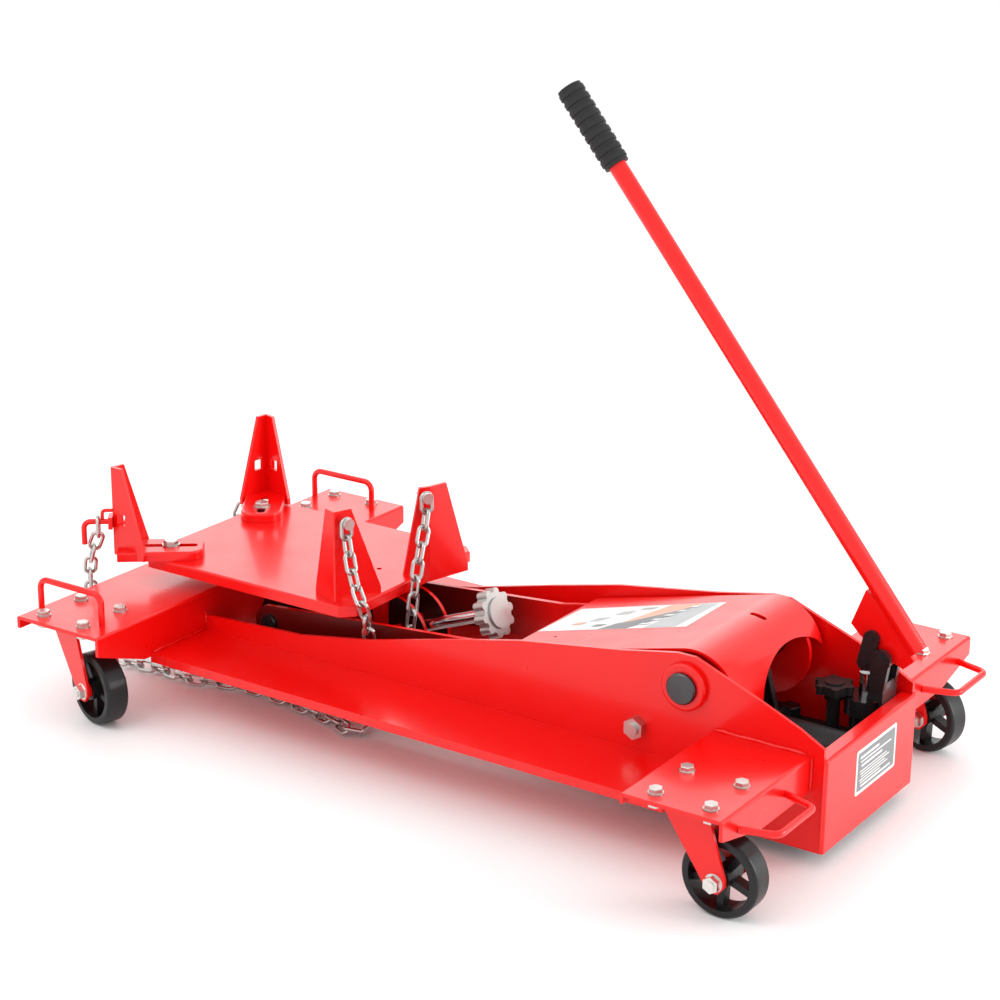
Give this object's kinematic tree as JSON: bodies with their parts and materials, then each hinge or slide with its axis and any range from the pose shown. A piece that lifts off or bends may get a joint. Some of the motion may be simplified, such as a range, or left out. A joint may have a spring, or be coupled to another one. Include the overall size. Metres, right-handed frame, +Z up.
{
  "type": "transmission jack",
  "caption": "Low floor jack on swivel casters whose long pivoted arm raises a levelled, tilting saddle plate with chain brackets, worked by a hand pump lever.",
  "frame": {"origin": "on the floor under the middle of the jack's length and width", "axes": "+X towards the pump and handle end, +Y towards the pump handle's side, +Z up"},
  "size_m": [1.2416, 0.71, 0.9078],
  "materials": {
    "red_paint": "gloss",
    "dark_steel": "satin",
    "bright_zinc": "satin",
    "chrome": "polished",
    "black_cast": "gloss",
    "black_plastic": "satin",
    "black_rubber": "ribbed matt"
  },
  "bodies": {
    "frame": {"front_crossbeam": "red_paint", "near_side_rail": "red_paint", "far_side_rail": "red_paint", "rear_box_plate": "red_paint", "rear_wings": "red_paint", "front_bar_handles": "red_paint", "rear_loop_handles": "red_paint", "pivot_bosses": "red_paint", "arm_pivot_shaft": "dark_steel", "link_anchor_bolts": "bright_zinc", "caster_plates": "red_paint", "caster_kingpins": "bright_zinc", "caster_bolts": "bright_zinc", "pump_base": "black_cast", "belly_plates": "black_cast", "pump_block": "black_cast", "pump_barrel": "black_cast", "filler_cap": "black_cast", "fulcrum_bracket": "black_cast", "fulcrum_pin": "black_cast", "ram_cylinder": "black_cast"},
    "lift_arm": {"arm_side_plates": "red_paint", "arm_cover": "red_paint", "arm_hub_tube": "dark_steel", "arm_cross_tube": "dark_steel", "ram_lever": "dark_steel", "lever_roller": "dark_steel", "arm_front_pins": "bright_zinc"},
    "levelling_rods": {"levelling_rods": "red_paint"},
    "saddle_base": {"saddle_base": "red_paint", "saddle_tilt_pin": "bright_zinc"},
    "tilt_screw": {"tilt_screw": "chrome", "tilt_knob": "bright_zinc"},
    "saddle_plate": {"saddle_plate": "red_paint", "near_rear_bracket": "red_paint", "far_rear_bracket": "red_paint", "chain_bolts": "bright_zinc", "near_chain": "bright_zinc", "far_chain": "bright_zinc"},
    "near_bracket_bolt": {"near_bracket_bolt": "bright_zinc"},
    "near_front_bracket": {"near_front_bracket": "red_paint", "near_chain_hook": "red_paint"},
    "far_bracket_bolt": {"far_bracket_bolt": "bright_zinc"},
    "far_front_bracket": {"far_front_bracket": "red_paint", "far_chain_hook": "red_paint"},
    "ram_rod": {"ram_rod": "chrome"},
    "handle": {"handle_tube": "red_paint", "handle_yoke": "red_paint", "handle_grip": "black_rubber"},
    "pump_links": {"pump_links": "black_cast"},
    "pump_piston": {"pump_piston": "chrome"},
    "release_knob": {"release_knob": "black_plastic"},
    "near_front_fork": {"near_front_caster_fork": "red_paint"},
    "near_front_wheel": {"near_front_caster_wheel": "black_cast"},
    "far_front_fork": {"far_front_caster_fork": "red_paint"},
    "far_front_wheel": {"far_front_caster_wheel": "black_cast"},
    "near_rear_fork": {"near_rear_caster_fork": "red_paint"},
    "near_rear_wheel": {"near_rear_caster_wheel": "black_cast"},
    "far_rear_fork": {"far_rear_caster_fork": "red_paint"},
    "far_rear_wheel": {"far_rear_caster_wheel": "black_cast"}
  },
  "joints": [
    {"name": "lift", "type": "hinge", "parent": "frame", "child": "lift_arm", "pos_m": [0.3683, 0, 0.2], "axis": [0, 1, 0], "range_deg": [0, 46], "deforming": ["near_chain", "far_chain"]},
    {"name": "saddle_level", "type": "hinge", "parent": "lift_arm", "child": "saddle_base", "pos_m": [-0.3407, 0, 0.113], "axis": [0, 1, 0], "range_deg": [-46, 0]},
    {"name": "rod_swing", "type": "hinge", "parent": "frame", "child": "levelling_rods", "pos_m": [0.2993, 0, 0.127], "axis": [0, 1, 0], "range_deg": [0, 46]},
    {"name": "ram_stroke", "type": "slide", "parent": "frame", "child": "ram_rod", "axis": [-1, 0, 0], "range_m": [0, 0.086]},
    {"name": "saddle_tilt", "type": "hinge", "parent": "saddle_base", "child": "saddle_plate", "pos_m": [-0.3427, 0, 0.15], "axis": [0, 1, 0], "range_deg": [-4.5, 4.5], "deforming": ["near_chain", "far_chain"]},
    {"name": "tilt_screw_turn", "type": "hinge", "parent": "saddle_base", "child": "tilt_screw", "pos_m": [-0.1997, 0, 0.0999], "axis": [0.9342, 0, 0.3567], "range_deg": [-693, 693]},
    {"name": "near_bracket_swivel", "type": "hinge", "parent": "saddle_plate", "child": "near_bracket_bolt", "pos_m": [-0.4967, -0.128, 0.195], "axis": [0, 0, 1], "range_deg": [-30, 30], "deforming": ["near_chain"]},
    {"name": "near_bracket_slide", "type": "slide", "parent": "near_bracket_bolt", "child": "near_front_bracket", "axis": [0.788, 0.6157, 0], "range_m": [-0.026, 0.024], "deforming": ["near_chain"]},
    {"name": "far_bracket_swivel", "type": "hinge", "parent": "saddle_plate", "child": "far_bracket_bolt", "pos_m": [-0.5017, 0.085, 0.195], "axis": [0, 0, 1], "range_deg": [-30, 30], "deforming": ["far_chain"]},
    {"name": "far_bracket_slide", "type": "slide", "parent": "far_bracket_bolt", "child": "far_front_bracket", "axis": [0.5592, -0.829, 0], "range_m": [-0.018, 0.026], "deforming": ["far_chain"]},
    {"name": "handle_pump", "type": "hinge", "parent": "frame", "child": "handle", "pos_m": [0.5423, 0.088, 0.209], "axis": [0, 1, 0], "range_deg": [-7, 30]},
    {"name": "link_swing", "type": "hinge", "parent": "handle", "child": "pump_links", "pos_m": [0.5233, 0.088, 0.232], "axis": [0, 1, 0], "range_deg": [-8, 4]},
    {"name": "piston_stroke", "type": "slide", "parent": "frame", "child": "pump_piston", "axis": [0, 0, 1], "range_m": [-0.0045, 0.013]},
    {"name": "release_turn", "type": "hinge", "parent": "frame", "child": "release_knob", "pos_m": [0.4783, 0.072, 0.1], "axis": [0, 0, 1], "range_deg": [0, 540]},
    {"name": "near_front_swivel", "type": "hinge", "parent": "frame", "child": "near_front_fork", "pos_m": [-0.5177, -0.295, 0.1], "axis": [0, 0, 1], "continuous": true},
    {"name": "near_front_roll", "type": "hinge", "parent": "near_front_fork", "child": "near_front_wheel", "pos_m": [-0.47925, -0.30602, 0.052], "axis": [0.2756, 0.9613, 0], "continuous": true},
    {"name": "far_front_swivel", "type": "hinge", "parent": "frame", "child": "far_front_fork", "pos_m": [-0.5177, 0.295, 0.1], "axis": [0, 0, 1], "continuous": true},
    {"name": "far_front_roll", "type": "hinge", "parent": "far_front_fork", "child": "far_front_wheel", "pos_m": [-0.47857, 0.30332, 0.052], "axis": [-0.2079, 0.9781, 0], "continuous": true},
    {"name": "near_rear_swivel", "type": "hinge", "parent": "frame", "child": "near_rear_fork", "pos_m": [0.4823, -0.295, 0.1], "axis": [0, 0, 1], "continuous": true},
    {"name": "near_rear_roll", "type": "hinge", "parent": "near_rear_fork", "child": "near_rear_wheel", "pos_m": [0.5223, -0.295, 0.052], "axis": [0, 1, 0], "continuous": true},
    {"name": "far_rear_swivel", "type": "hinge", "parent": "frame", "child": "far_rear_fork", "pos_m": [0.4823, 0.295, 0.1], "axis": [0, 0, 1], "continuous": true},
    {"name": "far_rear_roll", "type": "hinge", "parent": "far_rear_fork", "child": "far_rear_wheel", "pos_m": [0.52169, 0.28805, 0.052], "axis": [0.1736, 0.9848, 0], "continuous": true}
  ],
  "couplings": [
    {"joint": "saddle_level", "follows": "lift", "ratio": -1},
    {"joint": "rod_swing", "follows": "lift", "ratio": 1},
    {"joint": "ram_stroke", "follows": "lift", "m_per_rad": 0.1062},
    {"joint": "tilt_screw_turn", "follows": "saddle_tilt", "ratio": 154},
    {"joint": "link_swing", "follows": "handle_pump", "ratio": -0.13},
    {"joint": "piston_stroke", "follows": "handle_pump", "m_per_rad": 0.02406}
  ]
}
